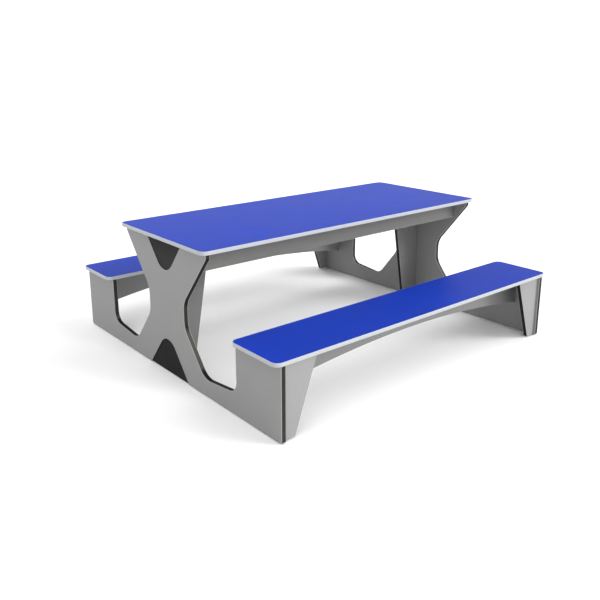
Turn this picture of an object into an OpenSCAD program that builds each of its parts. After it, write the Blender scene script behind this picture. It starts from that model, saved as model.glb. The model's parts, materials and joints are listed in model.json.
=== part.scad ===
// Table with two fixed benches on a pair of X-shaped end frames.
// Millimetres. X runs along the benches, Y across them and Z up.
// The origin is on the floor under the middle of the table.

/* [Tops] */
// Length of the table top and of both bench tops
top_length = 2000; // [1600:10:2400]
// Thickness of each top with its laminates
top_thickness = 19; // [18:1:30]
// Corner radius of each top in plan
corner_radius = 36; // [15:1:60]
// Thickness of the light edge band round each top
band_thickness = 2; // [1:0.5:5]
// Rounding of the edge band along its outer edges
band_rounding = 2; // [1:0.5:5]
// Thickness of the coloured laminate on a top and of its backer
laminate_thickness = 1; // [0.6:0.1:1.5]

/* [Table] */
// Width of the table top
table_width = 815; // [760:5:900]
// Height of the table's surface above the floor
table_height = 740; // [700:5:800]
// Distance from the middle of the table to the middle of an apron
apron_centre = 287; // [240:1:330]
// Depth of the aprons under the table top
apron_depth = 108; // [100:1:140]

/* [Benches] */
// Width of a bench top
bench_width = 334; // [300:2:400]
// Height of the seats above the floor
bench_height = 379; // [350:1:440]
// Distance from the middle of the table to the middle of a bench
bench_centre = 774; // [750:1:840]
// Depth of a bench rail at mid length
rail_middle_depth = 112; // [80:1:140]
// Depth of a bench rail at its ends
rail_end_depth = 188; // [170:1:220]

/* [Panels] */
// Thickness of the sandwich panels of frames, gussets and rails
panel_thickness = 25; // [25:1:40]
// Thickness of a panel's grey skin
skin_thickness = 2.5; // [1:0.5:4]

/* [End frames] */
// Distance from the ends of the tops to the frames' outer faces
frame_setback = 30; // [10:5:80]
// Lean of the frame's legs from the vertical, in degrees
leg_angle = 39; // [36:1:42]
// Width of the frame at its waist
waist_width = 340; // [310:2:390]
// Radius where the waist bends into the legs
waist_radius = 115; // [60:5:140]
// Height at which the legs begin to spread towards the floor
waist_foot_height = 296; // [280:1:325]
// Distance that the table top stands past a frame's shoulder
shoulder_overhang = 21; // [10:1:40]
// Height of the upright edge at a frame's shoulder
shoulder_drop = 25; // [15:1:35]
// Radius of a frame's shoulder
shoulder_radius = 20; // [5:1:25]
// Distance that a bench top stands past its upright on the outer side
outer_reveal = 5; // [0.5:0.5:10]
// Distance that a bench top stands past its upright on the table's side
inner_reveal = 2; // [0.5:0.5:10]
// Height of the slot's floor where it meets the bench upright
slot_floor_height = 115; // [100:1:135]
// Slope of the slot's floor, in degrees
slot_floor_slope = 6; // [0:1:9]
// Radius of the slot's corner at the bench upright
slot_outer_radius = 62; // [40:1:80]
// Radius of the slot's corner at the leg
slot_inner_radius = 98; // [60:1:120]
// Radius of the frame's corners at the floor
foot_radius = 8; // [2:1:15]

/* [Pockets] */
// Height of the upper pocket under the table top
upper_pocket_height = 160; // [140:1:170]
// Height of the lower pocket above the frame's bottom edge
lower_pocket_height = 184; // [160:1:195]
// Radius at the closed end of both pockets
pocket_radius = 90; // [60:2:100]
// Depth of the pockets in the frame's outer face, which bare the dark core
pocket_depth = 5; // [4.5:0.5:8]

/* [Gussets] */
// Width of the centre gussets under the table top
centre_gusset_top = 247; // [200:1:300]
// Width of the centre gussets at the floor
centre_gusset_foot = 123; // [90:1:150]
// Width of the bench gussets under the seat
bench_gusset_top = 184; // [140:1:220]
// Width of the bench gussets at the floor
bench_gusset_foot = 60; // [54:1:90]
// Distance of the bench gussets behind the uprights' outer edges
bench_gusset_setback = 12; // [4:1:20]
// Gap between the gussets and the floor
gusset_floor_gap = 8; // [3:1:20]

/* [Brackets and screws] */
// Length of a bracket's leg
bracket_leg = 40; // [36:1:45]
// Width of a bracket
bracket_width = 30; // [26:1:34]
// Thickness of a bracket
bracket_thickness = 3; // [2:0.5:4]
// Outer radius of a bracket's bend
bracket_bend = 4.5; // [4:0.5:6]
// Distance between the two screws in a leg
screw_spacing = 15; // [12:1:16]
// Distance from a bracket's corner to its screws
screw_offset = 25; // [20:1:28]
// Diameter of a screw's shank
screw_diameter = 5; // [4:0.5:6]
// Depth of a screw in its panel
screw_depth = 14; // [10:1:15]
// Diameter of a screw's head
screw_head_diameter = 9.5; // [8:0.5:11]
// Height of a screw's head
screw_head_height = 2.5; // [2:0.5:4]

/* [Dowels and cam fittings] */
// Diameter of a panel dowel
dowel_diameter = 10; // [8:1:12]
// Depth of a dowel in the end frame
dowel_frame_depth = 16; // [12:1:18]
// Depth of a dowel in the panel that meets the frame
dowel_panel_depth = 30; // [24:1:40]
// Diameter of a cam
cam_diameter = 15; // [12:1:18]
// Depth of a cam in its panel
cam_depth = 18; // [17:1:20]
// Distance from a cam to the frame's inner face
cam_distance = 34; // [30:1:38]
// Diameter of a cam's bolt
cam_bolt_diameter = 7; // [5:0.5:7.5]
// Depth of a cam's bolt in the end frame
cam_bolt_depth = 13; // [10:1:20]
// Gap between fitted pieces and their bores
bore_gap = 0.05; // [0.05:0.05:0.1]

/* [Glides] */
// Diameter of a glide under the end frames
glide_diameter = 20; // [16:1:22]
// Height of a glide below the frame's edge
glide_height = 4; // [1:0.5:6]
// Diameter of a glide's stem
glide_stem_diameter = 8; // [6:0.5:10]
// Length of a glide's stem
glide_stem_length = 18; // [12:1:25]
// Distance from a frame's corners and its lower pocket to a glide
glide_inset = 60; // [40:5:80]

/* [Hidden] */
// Overrun of every cut past the surface that it leaves
overrun = 1;
// Extra radius that makes an arc cross the slanted sides that it joins
arc_seam = 0.01;
// Smallest facet angle and length of the preview's curves
$fa = 3;
$fs = 0.5;

// Levels and faces that the pieces share
table_underside = table_height - top_thickness;
bench_underside = bench_height - top_thickness;
frame_bottom = glide_height;
frame_outer = top_length / 2 - frame_setback;
frame_inner = frame_outer - panel_thickness;
frame_middle = frame_outer - panel_thickness / 2;
core_thickness = panel_thickness - 2 * skin_thickness;
upright_outer = bench_centre + bench_width / 2 - outer_reveal;
upright_inner = bench_centre - bench_width / 2 + inner_reveal;
bench_gusset_centre = upright_outer - bench_gusset_setback - panel_thickness / 2;
arris_rounding = min(band_rounding, band_thickness);

// Outline of the end frame, from the floor up its right-hand side
shoulder_half = table_width / 2 - shoulder_overhang;
shoulder_height = table_underside - shoulder_drop;
waist_half = waist_width / 2;
waist_top_height = shoulder_height - (shoulder_half - waist_half) / tan(leg_angle);
slot_rise = tan(slot_floor_slope);
leg_spread = tan(leg_angle);
slot_apex_half = waist_half + waist_foot_height * leg_spread;
slot_low_height = (slot_floor_height - slot_rise * (upright_inner - slot_apex_half))
    / (1 + slot_rise * leg_spread);
slot_low_half = waist_half + (waist_foot_height - slot_low_height) * leg_spread;
frame_side = [
    [upright_outer, frame_bottom],
    [upright_outer, bench_underside],
    [upright_inner, bench_underside],
    [upright_inner, slot_floor_height],
    [slot_low_half, slot_low_height],
    [waist_half, waist_foot_height],
    [waist_half, waist_top_height],
    [shoulder_half, shoulder_height],
    [shoulder_half, table_underside]
];
frame_side_radii = [
    foot_radius, 0, 0, slot_outer_radius, slot_inner_radius,
    waist_radius, waist_radius, shoulder_radius, 0
];

// Pockets, whose rounded ends stop short of the points where their sides would meet
pocket_slack = pocket_radius * (1 / sin(leg_angle) - 1);
upper_pocket_half = (upper_pocket_height + pocket_slack) * leg_spread;
lower_pocket_half = (lower_pocket_height + pocket_slack) * leg_spread;

// Arch under a bench rail
arch_rise = rail_end_depth - rail_middle_depth;
arch_radius = (frame_inner * frame_inner + arch_rise * arch_rise) / (2 * arch_rise);
// Facets that keep the long arch smooth in the preview
arch_facets = 1440;

// Lengths of the fittings that cross from a panel into the end frame
dowel_length = dowel_panel_depth + dowel_frame_depth;
cam_bolt_length = cam_distance + cam_bolt_depth;

// Places of the fittings in the end frames, as depths below a top's underside
apron_cam_depth = 30;
apron_dowel_depths = [55, 82];
rail_cam_depth = 30;
rail_dowel_depths = [62, 140];
// Places on the centre gussets, as shares of the frame's height at its middle
web_low = frame_bottom + lower_pocket_height;
web_height = table_underside - upper_pocket_height - web_low;
gusset_cam_shares = [0.17, 0.83];
gusset_dowel_shares = [0.34, 0.5, 0.66];
// Places on the bench gussets, as shares of their height
bench_gusset_height = bench_underside - gusset_floor_gap;
bench_gusset_cam_shares = [0.24, 0.91];
bench_gusset_dowel_shares = [0.4, 0.58, 0.76];
// Sizes of the cross slot in a cam's face, as shares of its diameter
cross_slot_length_share = 0.6;
cross_slot_width_share = 0.16;
// Places of the brackets along the aprons and rails, as shares of their half length
apron_bracket_shares = [-0.64, 0, 0.64];
rail_bracket_shares = [-0.53, 0, 0.53];

// Each joint place holds Y, Z and the side of the panel that its cam faces
dowel_places = concat(
    [for (s = [-1, 1], d = apron_dowel_depths) [s * apron_centre, table_underside - d]],
    [for (s = [-1, 1], d = rail_dowel_depths) [s * bench_centre, bench_underside - d]],
    [for (k = gusset_dowel_shares) [0, web_low + k * web_height]],
    [for (s = [-1, 1], k = bench_gusset_dowel_shares)
        [s * bench_gusset_centre, gusset_floor_gap + k * bench_gusset_height]]
);
cam_places = concat(
    [for (s = [-1, 1]) [s * apron_centre, table_underside - apron_cam_depth, -s]],
    [for (s = [-1, 1]) [s * bench_centre, bench_underside - rail_cam_depth, -s]],
    [for (k = gusset_cam_shares) [0, web_low + k * web_height, 1]],
    [for (s = [-1, 1], k = bench_gusset_cam_shares)
        [s * bench_gusset_centre, gusset_floor_gap + k * bench_gusset_height, -s]]
);

// Each bracket place holds X, Y, Z of its corner and its turn about Z
apron_face = apron_centre - panel_thickness / 2;
rail_face = bench_centre - panel_thickness / 2;
table_bracket_y = (upper_pocket_half + apron_face) / 2;
bench_bracket_y = (rail_face + panel_thickness + bench_gusset_centre - panel_thickness / 2) / 2;
table_bracket_places = concat(
    [for (s = [-1, 1], k = apron_bracket_shares)
        [k * frame_inner, s * apron_face, table_underside, s < 0 ? 0 : 180]],
    [for (e = [-1, 1], s = [-1, 1])
        [e * frame_inner, s * table_bracket_y, table_underside, e * 90]]
);
function bench_bracket_places(s) = concat(
    [for (k = rail_bracket_shares)
        [k * frame_inner, s * rail_face, bench_underside, s < 0 ? 0 : 180]],
    [for (e = [-1, 1])
        [e * frame_inner, s * bench_bracket_y, bench_underside, e * 90]]
);
bracket_places = concat(table_bracket_places, bench_bracket_places(-1), bench_bracket_places(1));

// Places of the glides along the frame's bottom edge
glide_places = [
    -upright_outer + glide_inset, -lower_pocket_half - glide_inset,
    lower_pocket_half + glide_inset, upright_outer - glide_inset
];

// Outlines with rounded corners
function unit(v) = v / norm(v);
function turn(a, b) = a[0] * b[1] - a[1] * b[0];
function cyclic(list, i) = list[(i + len(list)) % len(list)];

// Sliver between a corner and the arc that rounds it
module spandrel(before, corner, after, radius, seam) {
    u = unit(before - corner);
    v = unit(after - corner);
    half_angle = acos(u * v) / 2;
    reach = radius / tan(half_angle);
    inward = unit(u + v);
    centre = corner + inward * radius / sin(half_angle);
    difference() {
        polygon([corner - inward * overrun, corner + u * reach, centre, corner + v * reach]);
        translate(centre) circle(r = radius + seam);
    }
}

// Polygon, listed anticlockwise, whose corners are rounded inside and outside
module rounded_polygon(points, radii, seam = 0) {
    corners = [for (i = [0:len(points) - 1]) if (radii[i] > 0) i];
    function bulges(i) = turn(points[i] - cyclic(points, i - 1), cyclic(points, i + 1) - points[i]) > 0;
    module corner_spandrel(i) {
        spandrel(cyclic(points, i - 1), points[i], cyclic(points, i + 1), radii[i], seam);
    }
    difference() {
        union() {
            polygon(points);
            for (i = corners) if (!bulges(i)) corner_spandrel(i);
        }
        for (i = corners) if (bulges(i)) corner_spandrel(i);
    }
}

// Rectangle centred on the origin with round corners
module round_rectangle(length, width, radius) {
    x = length / 2;
    y = width / 2;
    rounded_polygon([[-x, -y], [x, -y], [x, y], [-x, y]], [for (i = [1:4]) radius]);
}

// Placing of outlines and rods
module across_x(start, thickness) {
    translate([start, 0, 0]) rotate([90, 0, 90]) linear_extrude(thickness) children();
}
module across_y(start, thickness) {
    translate([0, start + thickness, 0]) rotate([90, 0, 0]) linear_extrude(thickness) children();
}
module rod_x(start, length, y, z, radius) {
    translate([start, y, z]) rotate([0, 90, 0]) cylinder(h = length, r = radius);
}
// Rod along Y that starts on a face and runs away from the side that the face looks to
module rod_from_face(x, face_y, z, side, length, radius) {
    translate([x, face_y, z]) rotate([side * 90, 0, 0]) cylinder(h = length, r = radius);
}
// Pieces of the left end mirror those of the right end
module at_end(end) {
    mirror([end < 0 ? 1 : 0, 0, 0]) children();
}

// Tops
module top_plate(width, inset, low, thickness) {
    translate([0, 0, low]) linear_extrude(thickness)
        round_rectangle(top_length - 2 * inset, width - 2 * inset, corner_radius - inset);
}
module top_core(width, underside, places) {
    difference() {
        top_plate(width, band_thickness, underside + laminate_thickness,
            top_thickness - 2 * laminate_thickness);
        bracket_top_bores(places);
    }
}
module top_laminate(width, underside) {
    top_plate(width, band_thickness, underside + top_thickness - laminate_thickness, laminate_thickness);
}
module top_backer(width, underside, places) {
    difference() {
        top_plate(width, band_thickness, underside, laminate_thickness);
        bracket_top_bores(places);
    }
}
// Cross-section of the edge band, its outer face away from the origin
module band_section(start) {
    translate([start, 0]) rounded_polygon(
        [[0, 0], [band_thickness, 0], [band_thickness, top_thickness], [0, top_thickness]],
        [0, arris_rounding, arris_rounding, 0]);
}
module band_run(length, distance) {
    translate([0, distance, 0]) rotate([90, 0, 90])
        linear_extrude(length, center = true) band_section(0);
}
module band_corner(length, width) {
    translate([length / 2 - corner_radius, width / 2 - corner_radius, 0])
        rotate_extrude(angle = 90) band_section(corner_radius - band_thickness);
}
module top_edge_band(width, underside) {
    long = top_length - 2 * corner_radius;
    short = width - 2 * corner_radius;
    translate([0, 0, underside]) {
        for (turned = [0, 180]) rotate([0, 0, turned]) {
            band_run(long, width / 2 - band_thickness);
            rotate([0, 0, 90]) band_run(short, top_length / 2 - band_thickness);
            band_corner(top_length, width);
            rotate([0, 0, 90]) band_corner(width, top_length);
        }
    }
}
module bench_place(side) {
    translate([0, side * bench_centre, 0]) children();
}
// Bracket places of one bench, measured from the bench's own centre line
function local_places(side) = [
    for (p = bench_bracket_places(side)) [p[0], p[1] - side * bench_centre, p[2], p[3]]
];

module table_core() {
    color("burlywood") top_core(table_width, table_underside, table_bracket_places);
}
module table_laminate() {
    color("royalblue") top_laminate(table_width, table_underside);
}
module table_backer() {
    color("gainsboro") top_backer(table_width, table_underside, table_bracket_places);
}
module table_edge_band() {
    color("whitesmoke") top_edge_band(table_width, table_underside);
}
module bench_core(side) {
    color("burlywood") bench_place(side) top_core(bench_width, bench_underside, local_places(side));
}
module bench_laminate(side) {
    color("royalblue") bench_place(side) top_laminate(bench_width, bench_underside);
}
module bench_backer(side) {
    color("gainsboro") bench_place(side) top_backer(bench_width, bench_underside, local_places(side));
}
module bench_edge_band(side) {
    color("whitesmoke") bench_place(side) top_edge_band(bench_width, bench_underside);
}

// End frames
module frame_outline() {
    points = concat(
        frame_side,
        [for (i = [len(frame_side) - 1:-1:0]) [-frame_side[i][0], frame_side[i][1]]]
    );
    radii = concat(frame_side_radii, [for (i = [len(frame_side) - 1:-1:0]) frame_side_radii[i]]);
    rounded_polygon(points, radii, arc_seam);
}
// Wedge with a round end, from a level past the frame's edge to its closed end
module pocket_outline(open_level, closed_level) {
    away = sign(open_level - closed_level);
    tip = closed_level - away * pocket_slack;
    spread = abs(open_level - tip) * leg_spread;
    corners = [[0, tip], [spread, open_level], [-spread, open_level]];
    points = away > 0 ? corners : [corners[0], corners[2], corners[1]];
    rounded_polygon(points, [pocket_radius, 0, 0], arc_seam);
}
module pockets() {
    across_x(frame_outer - pocket_depth, pocket_depth + overrun) {
        pocket_outline(table_underside + overrun, table_underside - upper_pocket_height);
        pocket_outline(frame_bottom - overrun, frame_bottom + lower_pocket_height);
    }
}
module frame_layer(start, thickness) {
    difference() {
        across_x(start, thickness) frame_outline();
        panel_fitting_bores();
        bracket_side_bores(bracket_places);
        for (y = glide_places)
            translate([frame_middle, y, frame_bottom - overrun])
                cylinder(h = glide_stem_length + bore_gap + overrun, r = glide_stem_diameter / 2 + bore_gap);
    }
}
module frame_core() {
    color("dimgray") difference() {
        frame_layer(frame_inner + skin_thickness, core_thickness);
        pockets();
    }
}
module frame_outer_skin() {
    color("darkgray") difference() {
        frame_layer(frame_outer - skin_thickness, skin_thickness);
        pockets();
    }
}
module frame_inner_skin() {
    color("darkgray") frame_layer(frame_inner, skin_thickness);
}

// Gussets and rails, as outlines in X and Z
module gusset_outline(underside, top, foot) {
    polygon([
        [frame_inner, gusset_floor_gap], [frame_inner, underside],
        [frame_inner - top, underside], [frame_inner - foot, gusset_floor_gap]
    ]);
}
module apron_outline() {
    translate([-frame_inner, table_underside - apron_depth]) square([2 * frame_inner, apron_depth]);
}
module rail_outline() {
    difference() {
        translate([-frame_inner, bench_underside - rail_end_depth])
            square([2 * frame_inner, rail_end_depth]);
        translate([0, bench_underside - rail_middle_depth - arch_radius])
            circle(r = arch_radius, $fn = arch_facets);
    }
}
// Core of a sandwich panel whose middle plane is at y
module upright_core(y) {
    across_y(y - core_thickness / 2, core_thickness) children();
}
module upright_skins(y) {
    across_y(y - panel_thickness / 2, skin_thickness) children();
    across_y(y + panel_thickness / 2 - skin_thickness, skin_thickness) children();
}
module centre_gusset(end) {
    color("dimgray") at_end(end) difference() {
        upright_core(0) gusset_outline(table_underside, centre_gusset_top, centre_gusset_foot);
        panel_fitting_bores();
    }
}
module centre_gusset_skins(end) {
    color("darkgray") at_end(end) difference() {
        upright_skins(0) gusset_outline(table_underside, centre_gusset_top, centre_gusset_foot);
        panel_fitting_bores();
    }
}
module bench_gusset(end, side) {
    color("dimgray") at_end(end) difference() {
        upright_core(side * bench_gusset_centre)
            gusset_outline(bench_underside, bench_gusset_top, bench_gusset_foot);
        panel_fitting_bores();
    }
}
module bench_gusset_skins(end, side) {
    color("darkgray") at_end(end) difference() {
        upright_skins(side * bench_gusset_centre)
            gusset_outline(bench_underside, bench_gusset_top, bench_gusset_foot);
        panel_fitting_bores();
    }
}
module rail_fitting_bores() {
    for (end = [-1, 1]) at_end(end) panel_fitting_bores();
    bracket_side_bores(bracket_places);
}
module apron(side) {
    color("dimgray") difference() {
        upright_core(side * apron_centre) apron_outline();
        rail_fitting_bores();
    }
}
module apron_skins(side) {
    color("darkgray") difference() {
        upright_skins(side * apron_centre) apron_outline();
        rail_fitting_bores();
    }
}
module bench_rail(side) {
    color("dimgray") difference() {
        upright_core(side * bench_centre) rail_outline();
        rail_fitting_bores();
    }
}
module bench_rail_skins(side) {
    color("darkgray") difference() {
        upright_skins(side * bench_centre) rail_outline();
        rail_fitting_bores();
    }
}

// Fittings between the end frame and the panels that meet it
module panel_fitting_bores() {
    bolt_radius = cam_bolt_diameter / 2 + bore_gap;
    for (p = dowel_places)
        rod_x(frame_inner - dowel_panel_depth - bore_gap, dowel_length + 2 * bore_gap, p[0], p[1],
            dowel_diameter / 2 + bore_gap);
    for (p = cam_places) {
        rod_x(frame_inner - cam_distance, cam_bolt_length + bore_gap, p[0], p[1], bolt_radius);
        rod_from_face(frame_inner - cam_distance, p[0] + p[2] * (panel_thickness / 2 + overrun), p[1], p[2],
            cam_depth + overrun + bore_gap, cam_diameter / 2 + bore_gap);
    }
}
module panel_dowels(end) {
    color("tan") at_end(end)
        for (p = dowel_places)
            rod_x(frame_inner - dowel_panel_depth, dowel_length, p[0], p[1], dowel_diameter / 2);
}
// The bolt's tip ends in the middle of the cam
module cam_bolts(end) {
    color("silver") at_end(end)
        for (p = cam_places)
            rod_x(frame_inner - cam_distance, cam_bolt_length, p[0], p[1], cam_bolt_diameter / 2);
}
module cam(p) {
    face = p[0] + p[2] * panel_thickness / 2;
    slot = [cross_slot_length_share * cam_diameter, cam_diameter * cross_slot_width_share];
    bolt_radius = cam_bolt_diameter / 2 + bore_gap;
    difference() {
        rod_from_face(frame_inner - cam_distance, face, p[1], p[2], cam_depth, cam_diameter / 2);
        rod_x(frame_inner - cam_distance - bore_gap, cam_distance, p[0], p[1], bolt_radius);
        for (s = [slot, [slot[1], slot[0]]])
            translate([frame_inner - cam_distance, face, p[1]])
                cube([s[0], 2 * slot[1], s[1]], center = true);
    }
}
module cams(end) {
    color("slategray") at_end(end)
        for (p = cam_places) cam(p);
}

// Brackets under the tops
module at_bracket(p) {
    translate([p[0], p[1], p[2]]) rotate([0, 0, p[3]]) children();
}
module bracket_section() {
    rounded_polygon(
        [
            [0, 0], [0, -bracket_leg], [bracket_thickness, -bracket_leg],
            [bracket_thickness, -bracket_thickness], [bracket_leg, -bracket_thickness], [bracket_leg, 0]
        ],
        [bracket_bend, 0, 0, bracket_bend - bracket_thickness, 0, 0]
    );
}
module bracket_screw_places() {
    for (x = [-screw_spacing / 2, screw_spacing / 2]) {
        translate([x, screw_offset, 0]) children();
        translate([x, 0, -screw_offset]) rotate([90, 0, 0]) children();
    }
}
module bracket() {
    difference() {
        rotate([90, 0, 90]) linear_extrude(bracket_width, center = true) bracket_section();
        bracket_screw_places()
            translate([0, 0, -bracket_thickness - overrun])
                cylinder(h = bracket_thickness + 2 * overrun, r = screw_diameter / 2 + bore_gap);
    }
}
module brackets(places) {
    color("lightslategray")
        for (p = places) at_bracket(p) bracket();
}
module bracket_screw() {
    translate([0, 0, -bracket_thickness]) {
        cylinder(h = bracket_thickness + screw_depth, r = screw_diameter / 2);
        translate([0, 0, -screw_head_height]) cylinder(h = screw_head_height, r = screw_head_diameter / 2);
    }
}
module bracket_screws(places) {
    color("silver")
        for (p = places) at_bracket(p) bracket_screw_places() bracket_screw();
}
module screw_bore() {
    translate([0, 0, -overrun])
        cylinder(h = screw_depth + bore_gap + overrun, r = screw_diameter / 2 + bore_gap);
}
module bracket_top_bores(places) {
    for (p = places) at_bracket(p)
        for (x = [-screw_spacing / 2, screw_spacing / 2])
            translate([x, screw_offset, 0]) screw_bore();
}
module bracket_side_bores(places) {
    for (p = places) at_bracket(p)
        for (x = [-screw_spacing / 2, screw_spacing / 2])
            translate([x, 0, -screw_offset]) rotate([90, 0, 0]) screw_bore();
}

// Glides under the end frames
module glides(end) {
    color("black") at_end(end)
        for (y = glide_places) translate([frame_middle, y, 0]) {
            cylinder(h = glide_height, r = glide_diameter / 2);
            cylinder(h = glide_height + glide_stem_length, r = glide_stem_diameter / 2);
        }
}

table_core();
table_laminate();
table_backer();
table_edge_band();
bench_core(-1);  // front_bench_core
bench_laminate(-1);  // front_bench_laminate
bench_backer(-1);  // front_bench_backer
bench_edge_band(-1);  // front_bench_edge_band
bench_core(1);  // back_bench_core
bench_laminate(1);  // back_bench_laminate
bench_backer(1);  // back_bench_backer
bench_edge_band(1);  // back_bench_edge_band
at_end(-1) frame_core();  // left_frame_core
at_end(-1) frame_outer_skin();  // left_frame_outer_skin
at_end(-1) frame_inner_skin();  // left_frame_inner_skin
at_end(1) frame_core();  // right_frame_core
at_end(1) frame_outer_skin();  // right_frame_outer_skin
at_end(1) frame_inner_skin();  // right_frame_inner_skin
centre_gusset(-1);  // left_centre_gusset
centre_gusset_skins(-1);  // left_centre_gusset_skins
bench_gusset(-1, -1);  // left_front_gusset
bench_gusset_skins(-1, -1);  // left_front_gusset_skins
bench_gusset(-1, 1);  // left_back_gusset
bench_gusset_skins(-1, 1);  // left_back_gusset_skins
centre_gusset(1);  // right_centre_gusset
centre_gusset_skins(1);  // right_centre_gusset_skins
bench_gusset(1, -1);  // right_front_gusset
bench_gusset_skins(1, -1);  // right_front_gusset_skins
bench_gusset(1, 1);  // right_back_gusset
bench_gusset_skins(1, 1);  // right_back_gusset_skins
apron(-1);  // front_apron
apron_skins(-1);  // front_apron_skins
apron(1);  // back_apron
apron_skins(1);  // back_apron_skins
bench_rail(-1);  // front_bench_rail
bench_rail_skins(-1);  // front_bench_rail_skins
bench_rail(1);  // back_bench_rail
bench_rail_skins(1);  // back_bench_rail_skins
brackets(table_bracket_places);  // table_brackets
brackets(bench_bracket_places(-1));  // front_bench_brackets
brackets(bench_bracket_places(1));  // back_bench_brackets
bracket_screws(table_bracket_places);  // table_bracket_screws
bracket_screws(bench_bracket_places(-1));  // front_bench_bracket_screws
bracket_screws(bench_bracket_places(1));  // back_bench_bracket_screws
panel_dowels(-1);  // left_panel_dowels
panel_dowels(1);  // right_panel_dowels
cams(-1);  // left_cams
cams(1);  // right_cams
cam_bolts(-1);  // left_cam_bolts
cam_bolts(1);  // right_cam_bolts
glides(-1);  // left_glides
glides(1);  // right_glides
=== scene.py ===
"""Finishes, stage, light and camera of the table and bench set."""
import json
import math

import bmesh
import bpy
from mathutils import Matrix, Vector


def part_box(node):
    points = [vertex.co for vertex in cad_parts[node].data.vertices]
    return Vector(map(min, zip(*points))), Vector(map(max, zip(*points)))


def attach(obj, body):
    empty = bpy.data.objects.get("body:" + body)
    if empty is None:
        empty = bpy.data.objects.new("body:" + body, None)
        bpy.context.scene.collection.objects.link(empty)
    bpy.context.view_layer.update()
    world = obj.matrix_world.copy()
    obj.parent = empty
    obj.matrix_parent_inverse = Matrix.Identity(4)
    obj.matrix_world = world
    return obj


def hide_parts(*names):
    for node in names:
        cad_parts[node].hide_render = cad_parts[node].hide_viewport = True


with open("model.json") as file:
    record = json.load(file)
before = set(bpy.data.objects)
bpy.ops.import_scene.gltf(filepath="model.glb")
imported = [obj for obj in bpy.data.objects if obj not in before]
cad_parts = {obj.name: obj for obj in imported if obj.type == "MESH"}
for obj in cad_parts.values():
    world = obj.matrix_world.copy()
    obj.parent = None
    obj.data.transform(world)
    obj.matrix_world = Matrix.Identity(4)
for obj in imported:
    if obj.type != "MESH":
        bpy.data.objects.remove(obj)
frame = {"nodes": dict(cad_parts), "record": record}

MM = 0.001
X, Y, Z = range(3)
ENDS = ("left", "right")
TOPS = ("table", "front_bench", "back_bench")
nodes = frame["nodes"]
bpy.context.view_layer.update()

# Camera, fitted to the photograph's 600 by 600 frame
PHOTO_SIDE_PX = 600
FOCAL_LENGTH_PX = 704.0
HORIZON_SHIFT_PX = -50.3
SENSOR_WIDTH_MM = 36.0
CAMERA_PLACE = (-2.623, -3.024, 1.574)
CAMERA_YAW = math.radians(49.965)
CAMERA_PITCH = math.radians(-15.056)


def make_camera():
    data = bpy.data.cameras.new("camera")
    data.sensor_fit = "HORIZONTAL"
    data.sensor_width = SENSOR_WIDTH_MM
    data.lens = FOCAL_LENGTH_PX / PHOTO_SIDE_PX * SENSOR_WIDTH_MM
    data.shift_y = HORIZON_SHIFT_PX / PHOTO_SIDE_PX
    camera = bpy.data.objects.new("camera", data)
    camera.location = CAMERA_PLACE
    camera.rotation_euler = (math.pi / 2 + CAMERA_PITCH, 0, CAMERA_YAW - math.pi / 2)
    bpy.context.scene.collection.objects.link(camera)
    bpy.context.scene.camera = camera


# Marks on a piece's faces that its finish reads
ARRIS_MARK = "arris"
PAINTED_LIGHT_MARK = "painted_light"


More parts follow.
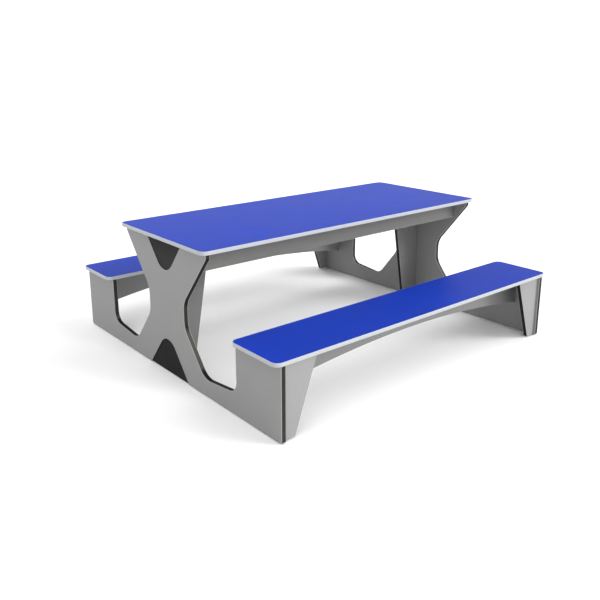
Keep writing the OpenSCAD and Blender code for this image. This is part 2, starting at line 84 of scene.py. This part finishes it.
class Surface:
    """A material's node tree, with the calls that build one."""

    def __init__(self, name, color, roughness, specular=0.5):
        self.material = bpy.data.materials.new(name)
        self.material.use_nodes = True
        self.tree = self.material.node_tree
        self.shader = self.tree.nodes["Principled BSDF"]
        self.set(self.shader, {"Base Color": (*color, 1), "Roughness": roughness,
                               "Specular IOR Level": specular})
        self.place = self.node("ShaderNodeTexCoord").outputs["Object"]

    def node(self, kind, **settings):
        made = self.tree.nodes.new(kind)
        for key, value in settings.items():
            setattr(made, key, value)
        return made

    def set(self, node, values):
        for name, value in values.items():
            node.inputs[name].default_value = value

    def link(self, source, target):
        self.tree.links.new(source, target)

    def sum_of(self, operation, *values):
        """One step of arithmetic on sockets and plain numbers."""
        made = self.node("ShaderNodeMath", operation=operation)
        for value, target in zip(values, made.inputs):
            if isinstance(value, float):
                target.default_value = value
            else:
                self.link(value, target)
        return made.outputs["Value"]

    def product(self, a, b):
        return self.sum_of("MULTIPLY", a, b)

    def added(self, a, b):
        return self.sum_of("ADD", a, b)

    def part(self, vector, axis):
        parts = self.node("ShaderNodeSeparateXYZ")
        self.link(vector, parts.inputs["Vector"])
        return parts.outputs[axis]

    def coordinate(self, axis):
        """Place along an axis, in metres."""
        return self.part(self.place, axis)

    def facing(self, axis):
        """How squarely a face looks towards the end of an axis, from -1 to 1."""
        return self.part(self.node("ShaderNodeNewGeometry").outputs["True Normal"], axis)

    def face_axis(self, axis):
        """How squarely a face looks along an axis, either way, from 0 to 1."""
        return self.sum_of("ABSOLUTE", self.facing(axis))

    def arris(self):
        """One on the rounded edges of an eased piece, and nothing elsewhere."""
        return self.node("ShaderNodeAttribute", attribute_name=ARRIS_MARK).outputs["Fac"]

    def painted_light(self):
        """The painted light level of a piece: below one is painted shade, above one painted light."""
        return self.node("ShaderNodeAttribute", attribute_name=PAINTED_LIGHT_MARK).outputs["Fac"]

    def turned(self, axis, angle):
        """Object coordinates turned about an axis, by radians."""
        turn = self.node("ShaderNodeVectorRotate", rotation_type=f"{axis}_AXIS")
        self.set(turn, {"Angle": angle})
        self.link(self.place, turn.inputs["Vector"])
        return turn.outputs["Vector"]

    def stretched(self, scales, vector=None):
        """Coordinates in metres, multiplied along each axis."""
        mapping = self.node("ShaderNodeMapping")
        self.set(mapping, {"Scale": scales})
        self.link(vector or self.place, mapping.inputs["Vector"])
        return mapping.outputs["Vector"]

    def noise(self, scale, detail=4.0, rough=0.5, vector=None):
        """Soft spots, so many to the metre, from 0 to 1."""
        made = self.node("ShaderNodeTexNoise")
        self.set(made, {"Scale": scale, "Detail": detail, "Roughness": rough})
        self.link(vector or self.place, made.inputs["Vector"])
        return made.outputs["Fac"]

    def cells(self, scale, output, vector=None):
        """Cells packed side by side, so many to the metre."""
        made = self.node("ShaderNodeTexVoronoi")
        self.set(made, {"Scale": scale})
        self.link(vector or self.place, made.inputs["Vector"])
        return made.outputs[output]

    def sweeps(self, vector, pitch):
        """Fine ridges a cutter leaves side by side, one pitch apart along Y."""
        made = self.node("ShaderNodeTexWave", wave_type="BANDS", bands_direction="Y", wave_profile="SIN")
        self.set(made, {"Scale": WAVES_PER_METRE / pitch, "Distortion": SWEEP_WOBBLE})
        self.link(vector, made.inputs["Vector"])
        return made.outputs["Fac"]

    def spread(self, value, low, high, start=0.0, end=1.0):
        """Maps a value from low..high to start..end, clamped."""
        made = self.node("ShaderNodeMapRange")
        self.set(made, {"From Min": low, "From Max": high, "To Min": start, "To Max": end})
        self.link(value, made.inputs["Value"])
        return made.outputs["Result"]

    def share(self, mask, most):
        """A mask from 0 to 1, brought to 0..most."""
        return self.spread(mask, 0.0, 1.0, 0.0, most)

    def colors(self, value, stops):
        """Colours along a value, as stops of (value, colour)."""
        made = self.node("ShaderNodeValToRGB")
        set_ramp(made.color_ramp, stops)
        self.link(value, made.inputs["Fac"])
        return made.outputs["Color"]

    def blend(self, factor, a, b):
        """Colour a where the factor is 0 and colour b where it is 1."""
        made = self.node("ShaderNodeMix", data_type="RGBA")
        self.link(factor, made.inputs["Factor"])
        for socket, source in (("A", a), ("B", b)):
            target = next(i for i in made.inputs if i.name == socket and i.type == "RGBA")
            if isinstance(source, tuple):
                target.default_value = (*source, 1)
            else:
                self.link(source, target)
        return next(o for o in made.outputs if o.type == "RGBA")

    def marked(self, color, mask, most, mark):
        """A colour that turns into a mark's colour under a mask, by a share at most."""
        return self.blend(self.share(mask, most), color, mark)

    def with_painted_light(self, color):
        """A colour under the painted light level of its piece, with some blue taken out of the most shaded
        pieces against the blue light the bench tops bounce onto them.
        """
        painted_light = self.painted_light()
        bounce_blue_cut = self.spread(painted_light, APRON_PAINTED_SHADE, BLUE_CUT_BELOW_LIGHT, SHADED_PIECE_BLUE_SHARE, 1.0)
        factors = self.node("ShaderNodeCombineXYZ")
        for axis, factor in (("X", painted_light), ("Y", painted_light), ("Z", self.product(painted_light, bounce_blue_cut))):
            self.link(factor, factors.inputs[axis])
        made = self.node("ShaderNodeVectorMath", operation="MULTIPLY")
        self.link(color, made.inputs[0])
        self.link(factors.outputs["Vector"], made.inputs[1])
        return made.outputs["Vector"]

    def band_joint(self):
        """Hairline where the ends of an edge band meet, on the side away from the seats."""
        distance = self.sum_of("ABSOLUTE", self.sum_of("SUBTRACT", self.coordinate("X"), BAND_JOINT_X))
        hairline = self.spread(distance, BAND_JOINT_HALF, BAND_JOINT_HALF + BAND_JOINT_FADE, 1.0, 0.0)
        return self.product(hairline, self.spread(self.facing("Y"), 0.0, 0.1))

    def bump(self, height, distance, strength=1.0, below=None):
        """Relief of a height map, over the relief below it."""
        made = self.node("ShaderNodeBump")
        self.set(made, {"Distance": distance, "Strength": strength})
        self.link(height, made.inputs["Height"])
        if below is not None:
            self.link(below, made.inputs["Normal"])
        return made.outputs["Normal"]

    def finish(self, color=None, roughness=None, normal=None):
        for name, source in (("Base Color", color), ("Roughness", roughness), ("Normal", normal)):
            if source is not None:
                self.link(source, self.shader.inputs[name])
        return self.material


def set_ramp(ramp, stops):
    """Sets a colour ramp, which starts with two stops, to stops of (value, colour)."""
    while len(ramp.elements) < len(stops):
        ramp.elements.new(0.5)
    for element, (place, color) in zip(ramp.elements, stops):
        element.position = place
        element.color = (*color, 1)


def tint(color, factor):
    return tuple(min(1.0, channel * factor) for channel in color)


# Colours, linear
BLUE = (0.0078, 0.0358, 0.368)
EDGING_WHITE = (0.43, 0.445, 0.465)
PANEL_GREY = (0.230, 0.230, 0.229)
CORE_BLACK = (0.031, 0.031, 0.0272)
LOWER_POCKET_BLACK = (0.0145, 0.0145, 0.0152)
UPPER_POCKET_PAINTED_REFLECTION = (0.030, 0.030, 0.030)
BACKER_GREY = (0.60, 0.60, 0.61)
CHIP_LIGHT = (0.62, 0.47, 0.30)
CHIP_DARK = (0.30, 0.20, 0.11)
BEECH_LIGHT = (0.60, 0.42, 0.26)
BEECH_PORE = (0.42, 0.27, 0.15)
ZINC_PLATE = (0.62, 0.63, 0.65)
ZINC_CASTING = (0.32, 0.32, 0.33)
NYLON_BLACK = (0.018, 0.018, 0.018)

# Painted light levels of the grey braces, against the frames' own: painted shade on the braces under the
# tops, painted light on the bench gussets
FRAME_PAINTED_LIGHT = 1.0
CENTRE_GUSSET_PAINTED_SHADE = 0.78
BENCH_GUSSET_PAINTED_LIGHT = 1.21
APRON_PAINTED_SHADE = 0.70
RAIL_PAINTED_SHADE = 0.94
# Blue that is left in the most shaded braces, against the blue light the bench tops bounce onto them, and
# the painted light level below which blue is taken out
SHADED_PIECE_BLUE_SHARE = 0.93
BLUE_CUT_BELOW_LIGHT = 0.8

# Turns of the two sets of fine scratches on a laminate, in radians
SCRATCH_TURNS = (0.4, -0.7)
# Joint in the edge band: its place along each top, and its width
BAND_JOINT_X = 0.23
BAND_JOINT_HALF = 0.15 * MM
BAND_JOINT_FADE = 0.20 * MM
# Height over which scuffs fade out above the floor
SCUFF_HEIGHT = 0.12
# Heights over which the pockets' floors go from the plain black of the lower pockets to the painted
# reflection of the upper ones
POCKET_CHANGE_LOW = 0.3
POCKET_CHANGE_HIGH = 0.6
# Cutter marks on the floors of the pockets
POCKET_CUT_LEAN = math.radians(30)
POCKET_CUT_PITCH = 6 * MM
SWEEP_WOBBLE = 0.3
# Scale of a wave texture that gives one wave to the metre
WAVES_PER_METRE = 2 * math.pi / 20


def laminate():
    """High-pressure laminate with a pebbled face, wiped along its length and lightly scratched."""
    s = Surface("blue_laminate", BLUE, 0.38, 0.023)
    clouds = s.noise(3.0, 3.0)
    specks = s.noise(900.0, 2.0)
    mix = s.added(s.spread(clouds, 0.3, 0.7, 0.0, 0.6), s.spread(specks, 0.35, 0.65, 0.0, 0.4))
    color = s.colors(mix, [(0.1, tint(BLUE, 0.93)), (0.5, BLUE), (0.9, tint(BLUE, 1.07))])
    first, second = SCRATCH_TURNS
    hairs = s.noise(1.0, 2.0, 0.5, s.stretched((9.0, 900.0, 9.0), s.turned("Z", first)))
    crossing = s.noise(1.0, 2.0, 0.5, s.stretched((7.0, 800.0, 7.0), s.turned("Z", second)))
    patches = s.spread(s.noise(4.0, 3.0), 0.5, 0.68)
    both = s.added(s.spread(hairs, 0.69, 0.72), s.spread(crossing, 0.7, 0.73))
    scratches = s.product(both, patches)
    color = s.marked(color, scratches, 0.10, tint(EDGING_WHITE, 0.5))
    color = s.marked(color, s.arris(), 0.6, tint(BLUE, 0.35))
    wipes = s.noise(1.0, 5.0, 0.6, s.stretched((6.0, 60.0, 6.0)))
    satin = s.spread(s.added(s.product(wipes, clouds), specks), 0.5, 1.1, 0.34, 0.43)
    pebbles = s.bump(s.cells(700.0, "Distance"), 0.05 * MM, 0.35, s.bump(s.noise(9.0, 2.0), 0.4 * MM, 0.15))
    return s.finish(color, s.added(satin, s.share(scratches, 0.12)),
                    s.bump(scratches, -0.02 * MM, 0.5, pebbles))


def edging():
    """Smooth plastic edging with one joint, scuffed on its roundings and with painted shade on the tops'
    ends.
    """
    s = Surface("white_edging", EDGING_WHITE, 0.3, 0.4)
    scuffs = s.noise(30.0, 6.0, 0.7)
    color = s.colors(scuffs, [(0.3, tint(EDGING_WHITE, 0.95)), (0.5, EDGING_WHITE)])
    # Painted shade: the band on the tops' ends, which faces along X, is darker.
    color = s.blend(s.spread(s.face_axis("X"), 0.6, 1.0, 0.0, 0.8), color, tint(EDGING_WHITE, 0.76))
    up = s.face_axis("Z")
    rounded = s.product(s.spread(up, 0.25, 0.6), s.spread(up, 0.8, 0.97, 1.0, 0.0))
    worn = s.product(rounded, s.spread(s.noise(22.0, 8.0, 0.8), 0.5, 0.66))
    color = s.marked(color, worn, 0.35, tint(EDGING_WHITE, 0.7))
    joint = s.band_joint()
    color = s.marked(color, joint, 0.75, tint(EDGING_WHITE, 0.2))
    rough = s.added(s.spread(s.noise(140.0, 4.0), 0.3, 0.7, 0.24, 0.36), s.share(worn, 0.15))
    waves = s.bump(s.noise(60.0, 3.0), 0.1 * MM, 0.25)
    return s.finish(color, rough, s.bump(joint, -0.15 * MM, 0.8, waves))


def panel_skin():
    """Grey panel face with a fine grain, under the painted light level of its piece, rubbed and with a
    painted highlight on its rounded edges.
    """
    s = Surface("grey_skin", PANEL_GREY, 0.5, 0.2)
    clouds = s.noise(5.0, 4.0)
    grain = s.noise(1100.0, 3.0)
    mix = s.added(s.spread(clouds, 0.3, 0.7, 0.0, 0.5), s.spread(grain, 0.35, 0.65, 0.0, 0.5))
    stops = [(0.1, tint(PANEL_GREY, 0.94)), (0.5, PANEL_GREY), (0.9, tint(PANEL_GREY, 1.05))]
    # The grey is scaled by its piece's painted light level, which paints shade or light on the whole piece.
    color = s.with_painted_light(s.colors(mix, stops))
    low = s.spread(s.coordinate("Z"), 0.0, SCUFF_HEIGHT, 1.0, 0.0)
    scuffs = s.spread(s.noise(14.0, 8.0, 0.75), 0.52, 0.7)
    color = s.marked(color, s.product(low, scuffs), 0.25, tint(PANEL_GREY, 0.6))
    # Rubbed wear and a painted highlight: the rounded edges are lightened well past the grey to stand in
    # for the light they catch.
    rub_and_highlight = s.product(s.arris(), s.spread(s.noise(18.0, 8.0, 0.7), 0.3, 0.65, 0.35, 1.0))
    color = s.marked(color, rub_and_highlight, 0.9, tint(PANEL_GREY, 2.4))
    satin = s.spread(s.added(clouds, grain), 0.7, 1.3, 0.42, 0.56)
    waves = s.bump(s.noise(45.0, 2.0), 0.15 * MM, 0.12)
    return s.finish(color, s.added(satin, s.share(rub_and_highlight, -0.1)), s.bump(grain, 0.06 * MM, 0.4, waves))


def core_edge(s, clouds):
    """Colour of the core's edges: painted shade on edges that do not face along Y, lighter on those that
    do, and a painted sheen on the legs' upward-sloping edges.
    """
    painted_shade_edge = s.colors(clouds, [(0.3, tint(CORE_BLACK, 0.38)), (0.7, tint(CORE_BLACK, 0.54))])
    painted_light_edge = s.colors(clouds, [(0.3, tint(CORE_BLACK, 0.85)), (0.7, tint(CORE_BLACK, 1.2))])
    # Painted light and shade: edges facing along Y are lighter than the others.
    edge = s.blend(s.spread(s.face_axis("Y"), 0.96, 0.99), painted_shade_edge, painted_light_edge)
    up = s.facing("Z")
    # Painted sheen on the legs' edges that slope upward.
    painted_sheen = s.product(s.spread(up, 0.25, 0.60), s.spread(up, 0.66, 0.70, 1.0, 0.0))
    return s.marked(edge, painted_sheen, 0.9, tint(CORE_BLACK, 2.6))


def panel_core():
    """Black core, bare at the panels' edges and on the floors of the pockets, with a painted reflection on
    the upper pockets' floors.
    """
    s = Surface("black_core", CORE_BLACK, 0.45, 0.02)
    clouds = s.noise(12.0, 4.0)
    height = s.added(s.coordinate("Z"), s.share(clouds, 0.1))
    # Painted reflection: the upper pockets' floors are lighter than the lower ones.
    painted_reflection = s.spread(height, POCKET_CHANGE_LOW, POCKET_CHANGE_HIGH)
    is_floor = s.spread(s.face_axis("X"), 0.9, 0.98)
    color = s.blend(is_floor, core_edge(s, clouds), s.blend(painted_reflection, LOWER_POCKET_BLACK, UPPER_POCKET_PAINTED_REFLECTION))
    scuffs = s.spread(s.noise(25.0, 8.0, 0.8), 0.56, 0.7)
    color = s.marked(color, scuffs, 0.15, tint(CORE_BLACK, 2.0))
    cuts = s.noise(1.0, 3.0, 0.6, s.stretched((60.0, 900.0, 900.0)))
    matt = s.spread(s.added(cuts, clouds), 0.7, 1.3, 0.38, 0.52)
    sweeps = s.product(s.sweeps(s.turned("X", POCKET_CUT_LEAN), POCKET_CUT_PITCH), is_floor)
    return s.finish(color, s.added(matt, s.share(scuffs, 0.1)),
                    s.bump(sweeps, 0.03 * MM, 0.35, s.bump(cuts, 0.05 * MM, 0.4)))


def board():
    """Pressed wood chips."""
    s = Surface("board", CHIP_LIGHT, 0.8)
    chips = s.cells(260.0, "Distance", s.stretched((1.0, 1.0, 2.5)))
    color = s.blend(s.spread(chips, 0.0, 0.9), CHIP_LIGHT, CHIP_DARK)
    return s.finish(color, None, s.bump(chips, 0.3 * MM, 0.5))


def backer():
    """Plain backing laminate under a top."""
    s = Surface("backer", BACKER_GREY, 0.55)
    clouds = s.noise(6.0, 4.0)
    color = s.colors(clouds, [(0.3, tint(BACKER_GREY, 0.94)), (0.7, tint(BACKER_GREY, 1.04))])
    grain = s.noise(800.0, 2.0)
    return s.finish(color, s.spread(grain, 0.3, 0.7, 0.5, 0.62), s.bump(grain, 0.05 * MM, 0.3))


def metal(name, color, low, high):
    """Plated or cast metal, whose roughness runs from low to high."""
    s = Surface(name, color, low)
    s.set(s.shader, {"Metallic": 1.0})
    spangle = s.node("ShaderNodeSeparateColor")
    s.link(s.cells(180.0, "Color"), spangle.inputs["Color"])
    fine = s.noise(400.0, 4.0)
    mix = s.added(s.product(spangle.outputs["Red"], fine), fine)
    shade = s.colors(mix, [(0.3, tint(color, 0.85)), (0.9, tint(color, 1.1))])
    return s.finish(shade, s.spread(mix, 0.3, 1.0, low, high), s.bump(fine, 0.03 * MM, 0.3))


def beech():
    """Beech, with its pores along the dowel."""
    s = Surface("beech", BEECH_LIGHT, 0.65)
    fibres = s.noise(1.0, 6.0, 0.6, s.stretched((30.0, 700.0, 700.0)))
    color = s.colors(fibres, [(0.35, BEECH_PORE), (0.6, BEECH_LIGHT)])
    return s.finish(color, None, s.bump(fibres, 0.1 * MM, 0.4))


def nylon():
    """Moulded black nylon."""
    s = Surface("black_nylon", NYLON_BLACK, 0.5)
    grain = s.noise(700.0, 3.0)
    color = s.colors(grain, [(0.3, tint(NYLON_BLACK, 0.8)), (0.7, tint(NYLON_BLACK, 1.3))])
    return s.finish(color, s.spread(grain, 0.3, 0.7, 0.42, 0.6), s.bump(grain, 0.04 * MM, 0.3))


def finish_table():
    """One material for each slot of the record."""
    return {
        "blue_laminate": laminate(),
        "white_edging": edging(),
        "board": board(),
        "backer": backer(),
        "grey_skin": panel_skin(),
        "black_core": panel_core(),
        "zinc_steel": metal("zinc_steel", ZINC_PLATE, 0.28, 0.42),
        "zinc_alloy": metal("zinc_alloy", ZINC_CASTING, 0.45, 0.6),
        "beech": beech(),
        "black_nylon": nylon(),
    }


slots = {row["node"]: row["material_slot"] for row in frame["record"]["subparts"]}
finishes = finish_table()


def dress():
    """Gives every CAD node the finish of its slot."""
    for name, slot in slots.items():
        data = nodes[name].data
        data.materials.clear()
        data.materials.append(finishes[slot])


# How a CAD mesh is cleaned, and which of its edges are sharp or smooth
WELD = 0.001 * MM
FLAT = math.radians(0.2)
SHARP = math.radians(50)
SMOOTH = math.radians(35)
ON_PLANE = 0.01 * MM
# Widths of the eased edges
EASED_SKIN = 0.8 * MM
EASED_LAMINATE = 0.3 * MM
EASED_BRACKET = 0.5 * MM
EASED_CAM = 0.3 * MM
EASED_GLIDE = 1.0 * MM
EASE_STEPS = 3
# Least reach of an edge loop that is eased, so that small bores keep their edges
LEAST_LOOP = 20 * MM
LEAST_RIM = 12 * MM


def welded(name):
    """A CAD node's shape in a bmesh, with shared corners and whole flat faces."""
    shape = bmesh.new()
    shape.from_mesh(nodes[name].data)
    bmesh.ops.remove_doubles(shape, verts=shape.verts, dist=WELD)
    bmesh.ops.dissolve_limit(shape, angle_limit=FLAT, verts=shape.verts, edges=shape.edges)
    return shape


def groups_of(items, neighbours):
    """Groups of mesh items that hang together, in the items' own order."""
    left = set(items)
    for seed in items:
        if seed not in left:
            continue
        left.remove(seed)
        group = [seed]
        for item in group:
            for other in neighbours(item):
                if other in left:
                    left.remove(other)
                    group.append(other)
        yield group


def edges_beside(edge):
    return [other for corner in edge.verts for other in corner.link_edges]


def corners_beside(corner):
    return [edge.other_vert(corner) for edge in corner.link_edges]


def box_of(places):
    """Lowest and highest corner of the box round some places."""
    return [Vector([pick(place[axis] for place in places) for axis in (X, Y, Z)]) for pick in (min, max)]


def reach_of(group):
    """Longest side of the box round a group of edges."""
    low, high = box_of([corner.co for edge in group for corner in edge.verts])
    return max(high - low)


def add_piece(name, shape, node):
    """Makes a bmesh the visible stand-in of a CAD node, with that node's finish."""
    mesh = bpy.data.meshes.new(name)
    shape.to_mesh(mesh)
    shape.free()
    mesh.shade_smooth()
    mesh.set_sharp_from_angle(angle=SMOOTH)
    mesh.materials.append(finishes[slots[node]])
    piece = bpy.data.objects.new(name, mesh)
    bpy.context.scene.collection.objects.link(piece)
    piece.modifiers.new("flat_faces", "WEIGHTED_NORMAL").keep_sharp = True
    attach(piece, "root")
    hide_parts(node)


def ease(name, width, picks, least=LEAST_LOOP, painted_light=FRAME_PAINTED_LIGHT):
    """Rounds the long sharp edges whose both ends a test picks, and marks the faces for the finish."""
    shape = welded(name)
    shade = shape.faces.layers.float.new(PAINTED_LIGHT_MARK)
    mark = shape.faces.layers.float.new(ARRIS_MARK)
    sharp = [
        edge for edge in shape.edges
        if edge.is_manifold and edge.calc_face_angle() > SHARP
        and all(picks(corner.co) for corner in edge.verts)
    ]
    loops = [group for group in groups_of(sharp, edges_beside) if reach_of(group) > least]
    if loops:
        made = bmesh.ops.bevel(
            shape, geom=[edge for group in loops for edge in group], offset=width, offset_type="OFFSET",
            segments=EASE_STEPS, profile=0.5, affect="EDGES", clamp_overlap=False)
        for face in made["faces"]:
            face[mark] = 1.0
    # Each face carries its piece's painted light level: painted shade below one, painted light above.
    for face in shape.faces:
        face[shade] = painted_light
    add_piece(name + "_eased", shape, name)


def anywhere(place):
    return True


def nowhere(place):
    return False


def on_plane(axis, level):
    return lambda place: abs(place[axis] - level) < ON_PLANE


def on_either_plane(axis, name):
    low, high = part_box(name)
    return lambda place: min(abs(place[axis] - low[axis]), abs(place[axis] - high[axis])) < ON_PLANE


def ease_frame(end, sign):
    """Eases the outer edge of each skin of an end frame, whose core stays square."""
    for face, pick in (("outer", max), ("inner", min)):
        name = f"{end}_frame_{face}_skin"
        low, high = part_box(name)
        ease(name, EASED_SKIN, on_plane(X, sign * pick(abs(low[X]), abs(high[X]))))
    ease(f"{end}_frame_core", 0.0, nowhere)


def ease_skins(name, painted_light):
    """Eases both skins of a brace, on their outer faces, and gives them the brace's painted light level."""
    ease(name, EASED_SKIN, on_either_plane(Y, name), LEAST_LOOP, painted_light)


# Screws with a domed head and a cross recess
HEAD_RADIUS = 4.75 * MM
HEAD_HEIGHT = 2.5 * MM
HEAD_CHAMFER = 0.2 * MM
DOME_HEIGHT = 1.9 * MM
DOME_RING_SHARES = (0.55, 0.72, 0.86, 0.95, 1.0)
SHANK_RADIUS = 2.5 * MM
TIP_RADIUS = 1.8 * MM
TIP_LENGTH = 1.5 * MM
CROSS_REACH = 2.2 * MM
CROSS_HALF_WIDTH = 0.45 * MM
CROSS_HALF_ANGLE = math.atan2(CROSS_HALF_WIDTH, CROSS_REACH)
CROSS_TAPER = 0.65
CROSS_DEPTH = 1.5 * MM
CROSS_TIP_DEPTH = 1.8 * MM
STEPS_PER_ARM = 8
QUARTER = math.pi / 2
ANGLE_SLACK = 1e-6
# Radius past which a corner of a plain screw belongs to its head
HEAD_FROM = 1.2 * SHANK_RADIUS


def dome(radius):
    """Depth of the head's crown below its top."""
    return DOME_HEIGHT * (1 - math.sqrt(max(0.0, 1 - (radius / HEAD_RADIUS) ** 2)))


def recess_angles():
    """Angles round a head, which meet the corners of the cross."""
    between = STEPS_PER_ARM - 2
    step = (QUARTER - 2 * CROSS_HALF_ANGLE) / between
    arm = [0.0] + [CROSS_HALF_ANGLE + step * i for i in range(between + 1)]
    return [quarter * QUARTER + angle for quarter in range(4) for angle in arm]


def cross_radius(angle):
    """Distance of the cross's outline from its middle."""
    lean = (angle + QUARTER / 2) % QUARTER - QUARTER / 2
    if abs(lean) <= CROSS_HALF_ANGLE + ANGLE_SLACK:
        return CROSS_REACH / math.cos(lean)
    return CROSS_HALF_WIDTH / abs(math.sin(lean))


def screw_rings(angles, length):
    """Rings of (radius, depth below the head's top), from the recess to the tip."""
    mouth = [cross_radius(angle) for angle in angles]
    rounds = [(share * HEAD_RADIUS, dome(share * HEAD_RADIUS)) for share in DOME_RING_SHARES] + [
        (HEAD_RADIUS, HEAD_HEIGHT - HEAD_CHAMFER),
        (HEAD_RADIUS - HEAD_CHAMFER, HEAD_HEIGHT),
        (SHANK_RADIUS, HEAD_HEIGHT),
        (SHANK_RADIUS, length - TIP_LENGTH),
        (TIP_RADIUS, length),
    ]
    recess = [[(CROSS_TAPER * radius, CROSS_DEPTH) for radius in mouth],
              [(radius, dome(radius)) for radius in mouth]]
    return recess + [[ring] * len(angles) for ring in rounds]


def add_screw(shape, top, inward, length):
    """Adds one screw, whose head's top is at a point and whose shank runs inward."""
    turn = inward.to_track_quat("Z", "Y")
    angles = recess_angles()
    rows = [
        [shape.verts.new(top + turn @ Vector((r * math.cos(a), r * math.sin(a), depth)))
         for a, (r, depth) in zip(angles, ring)]
        for ring in screw_rings(angles, length)
    ]
    count = len(angles)
    for low, high in zip(rows, rows[1:]):
        for i in range(count):
            j = (i + 1) % count
            shape.faces.new((low[i], low[j], high[j], high[i]))
    pit = shape.verts.new(top + turn @ Vector((0, 0, CROSS_TIP_DEPTH)))
    end = shape.verts.new(top + turn @ Vector((0, 0, length)))
    for i in range(count):
        j = (i + 1) % count
        shape.faces.new((pit, rows[0][j], rows[0][i]))
        shape.faces.new((end, rows[-1][i], rows[-1][j]))


def screw_place(places):
    """Top of a plain screw's head, the way inward and its length, from its corners' places."""
    low, high = box_of(places)
    size = high - low
    axis = max((X, Y, Z), key=lambda i: size[i])
    middle = (low + high) / 2
    head = [p[axis] for p in places
            if (p - middle).length_squared - (p[axis] - middle[axis]) ** 2 > HEAD_FROM ** 2]
    head_low = abs(min(head) - low[axis]) < ON_PLANE
    top = middle.copy()
    top[axis] = low[axis] if head_low else high[axis]
    inward = Vector((0.0, 0.0, 0.0))
    inward[axis] = 1.0 if head_low else -1.0
    return top, inward, size[axis]


def cut_screws(name):
    """Puts a detailed screw in the place of each plain one of a CAD node."""
    plain = welded(name)
    shape = bmesh.new()
    for corners in groups_of(list(plain.verts), corners_beside):
        add_screw(shape, *screw_place([corner.co.copy() for corner in corners]))
    plain.free()
    bmesh.ops.recalc_face_normals(shape, faces=shape.faces)
    add_piece(name + "_cross_head", shape, name)


def ease_edges():
    """Eases the long sharp edges of every piece, and cuts the screws."""
    for end, sign in zip(ENDS, (-1, 1)):
        ease_frame(end, sign)
        # Painted shade on the centre gussets under the table, painted light on the bench gussets.
        ease_skins(f"{end}_centre_gusset_skins", CENTRE_GUSSET_PAINTED_SHADE)
        ease_skins(f"{end}_front_gusset_skins", BENCH_GUSSET_PAINTED_LIGHT)
        ease_skins(f"{end}_back_gusset_skins", BENCH_GUSSET_PAINTED_LIGHT)
        ease(f"{end}_glides", EASED_GLIDE, on_plane(Z, 0.0), LEAST_RIM)
        ease(f"{end}_cams", EASED_CAM, anywhere, LEAST_RIM)
    for side in ("front", "back"):
        # Painted shade on the aprons and rails under the tops.
        ease_skins(f"{side}_apron_skins", APRON_PAINTED_SHADE)
        ease_skins(f"{side}_bench_rail_skins", RAIL_PAINTED_SHADE)
    for top in TOPS:
        name = f"{top}_laminate"
        ease(name, EASED_LAMINATE, on_plane(Z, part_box(name)[1][Z]))
        ease(f"{top}_brackets", EASED_BRACKET, anywhere)
        cut_screws(f"{top}_bracket_screws")


# Stage
FLOOR_HALF = 40.0
FLOOR_WHITE = (0.93, 0.93, 0.93)
FLOOR_ROUGHNESS = 0.9
# Sky brightness against the sine of the height above the horizon
SKY_STEPS = [(0.0, 1.0), (0.62, 1.0), (0.68, 0.4), (1.0, 0.3)]
SKY_STRENGTH = 1.19
# Distant soft boxes: name, turn from the front towards the right, height in degrees, and strength
SOFT_BOX_WIDTH = math.radians(28)
SOFT_BOXES = [
    ("left_key", -60.0, 65.0, 0.72),
    ("right_low_fill", 45.0, 22.0, 1.87),
    ("right_key", 45.0, 50.0, 0.55),
    ("back_low_fill", 180.0, 30.0, 0.52),
    ("back_key", 180.0, 55.0, 0.30),
]


def make_floor():
    s = Surface("floor", FLOOR_WHITE, FLOOR_ROUGHNESS, 0.0)
    mesh = bpy.data.meshes.new("floor")
    corners = [(-FLOOR_HALF, -FLOOR_HALF, 0), (FLOOR_HALF, -FLOOR_HALF, 0),
               (FLOOR_HALF, FLOOR_HALF, 0), (-FLOOR_HALF, FLOOR_HALF, 0)]
    mesh.from_pydata(corners, [], [(0, 1, 2, 3)])
    mesh.materials.append(s.material)
    floor = bpy.data.objects.new("floor", mesh)
    bpy.context.scene.collection.objects.link(floor)


def make_sky():
    """White studio walls under a darker ceiling."""
    world = bpy.data.worlds.new("studio")
    world.use_nodes = True
    tree = world.node_tree
    place = tree.nodes.new("ShaderNodeTexCoord")
    parts = tree.nodes.new("ShaderNodeSeparateXYZ")
    ramp = tree.nodes.new("ShaderNodeValToRGB")
    light = tree.nodes["Background"]
    set_ramp(ramp.color_ramp, [(height, (level, level, level)) for height, level in SKY_STEPS])
    tree.links.new(place.outputs["Generated"], parts.inputs["Vector"])
    tree.links.new(parts.outputs["Z"], ramp.inputs["Fac"])
    tree.links.new(ramp.outputs["Color"], light.inputs["Color"])
    light.inputs["Strength"].default_value = SKY_STRENGTH
    bpy.context.scene.world = world


def make_lights():
    for name, turn, height, strength in SOFT_BOXES:
        data = bpy.data.lights.new(name, "SUN")
        data.angle = SOFT_BOX_WIDTH
        data.energy = strength
        lamp = bpy.data.objects.new(name, data)
        lamp.rotation_euler = (math.radians(90 - height), 0, math.radians(turn))
        bpy.context.scene.collection.objects.link(lamp)


bpy.context.scene.view_settings.view_transform = "Standard"
make_camera()
dress()
ease_edges()
make_floor()
make_sky()
make_lights()
